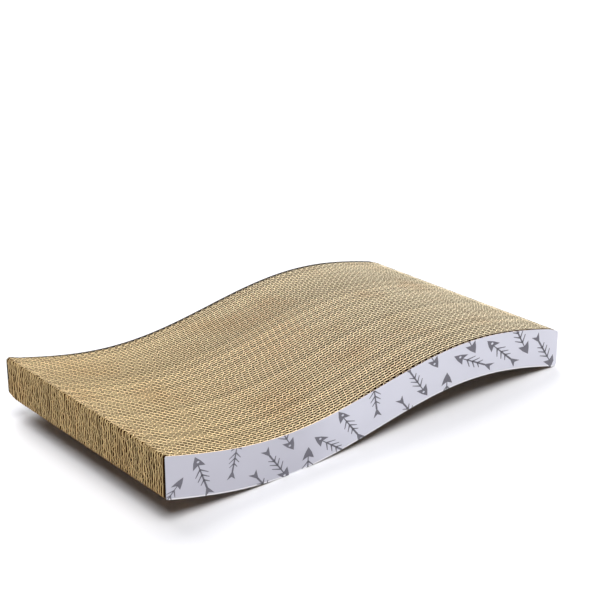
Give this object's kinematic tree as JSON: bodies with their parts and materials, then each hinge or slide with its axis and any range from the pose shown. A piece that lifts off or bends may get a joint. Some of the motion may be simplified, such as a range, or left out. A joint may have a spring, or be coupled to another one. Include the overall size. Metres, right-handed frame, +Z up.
{
  "type": "cardboard cat scratcher",
  "caption": "Wave-shaped corrugated cardboard scratching pad for a cat, with a trough, a hump and printed side facings.",
  "frame": {"origin": "middle of the footprint, on the floor that the trough and the foot of the hump end stand on", "axes": "+X along the boards towards the hump end, +Y across the pad from the front facing to the rear facing, +Z up"},
  "size_m": [0.4514, 0.2634, 0.0596],
  "materials": {
    "corrugated_board": "bare kraft board, sawn across its flutes",
    "facing_paper": "matt printed liner, pale lilac grey with grey fishbones"
  },
  "bodies": {
    "root": {"front_facing": "facing_paper", "boards_01_02": "corrugated_board", "boards_03_04": "corrugated_board", "boards_05_06": "corrugated_board", "boards_07_08": "corrugated_board", "boards_09_10": "corrugated_board", "boards_11_12": "corrugated_board", "boards_13_14": "corrugated_board", "boards_15_16": "corrugated_board", "boards_17_18": "corrugated_board", "boards_19_20": "corrugated_board", "boards_21_22": "corrugated_board", "boards_23_24": "corrugated_board", "boards_25_26": "corrugated_board", "boards_27_28": "corrugated_board", "boards_29_30": "corrugated_board", "boards_31_32": "corrugated_board", "boards_33_34": "corrugated_board", "boards_35_36": "corrugated_board", "boards_37_38": "corrugated_board", "boards_39_40": "corrugated_board", "boards_41_42": "corrugated_board", "boards_43_44": "corrugated_board", "boards_45_46": "corrugated_board", "boards_47_48": "corrugated_board", "boards_49_50": "corrugated_board", "boards_51_52": "corrugated_board", "boards_53_54": "corrugated_board", "boards_55_56": "corrugated_board", "boards_57_58": "corrugated_board", "boards_59_60": "corrugated_board", "boards_61_62": "corrugated_board", "boards_63_64": "corrugated_board", "boards_65_66": "corrugated_board", "boards_67_68": "corrugated_board", "boards_69_70": "corrugated_board", "boards_71_72": "corrugated_board", "boards_73_74": "corrugated_board", "boards_75_76": "corrugated_board", "rear_facing": "facing_paper"}
  },
  "joints": []
}
